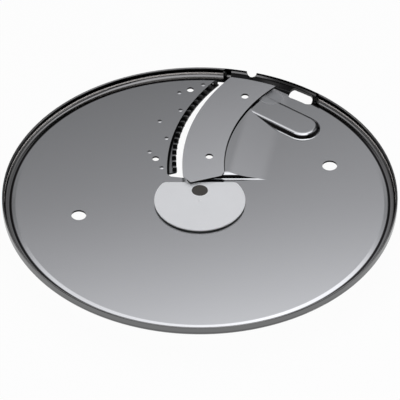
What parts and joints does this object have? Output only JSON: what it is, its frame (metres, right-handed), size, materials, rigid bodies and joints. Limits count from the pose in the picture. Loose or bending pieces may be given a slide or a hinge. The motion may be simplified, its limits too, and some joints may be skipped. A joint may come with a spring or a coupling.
{
  "type": "food processor julienne disc",
  "caption": "Round sheet steel disc with raised rim, curved blade on a pressed ramp, toothed comb beside the food slot, and a plastic hub with a drive socket.",
  "frame": {"origin": "on the disc axis, in the plane of the hub's lower end, which is the centre of the bounding box's bottom", "axes": "+Z along the disc axis, up through the plate's working side; +Y from the axis towards the food slot and blade; X completes the right-handed frame"},
  "size_m": [0.18, 0.18, 0.0196],
  "materials": {
    "disc_plate": "bright rolled stainless sheet with a satin sheen",
    "slicing_blade": "satin ground stainless steel",
    "julienne_comb": "satin stainless sheet",
    "hub_boss": "dark grey moulded plastic",
    "hub_cap": "light grey moulded plastic, bare",
    "hub_insert": "dark grey moulded plastic"
  },
  "bodies": {
    "root": {"disc_plate": "disc_plate", "slicing_blade": "slicing_blade", "julienne_comb": "julienne_comb", "hub_boss": "hub_boss", "hub_cap": "hub_cap", "hub_insert": "hub_insert"}
  },
  "joints": []
}
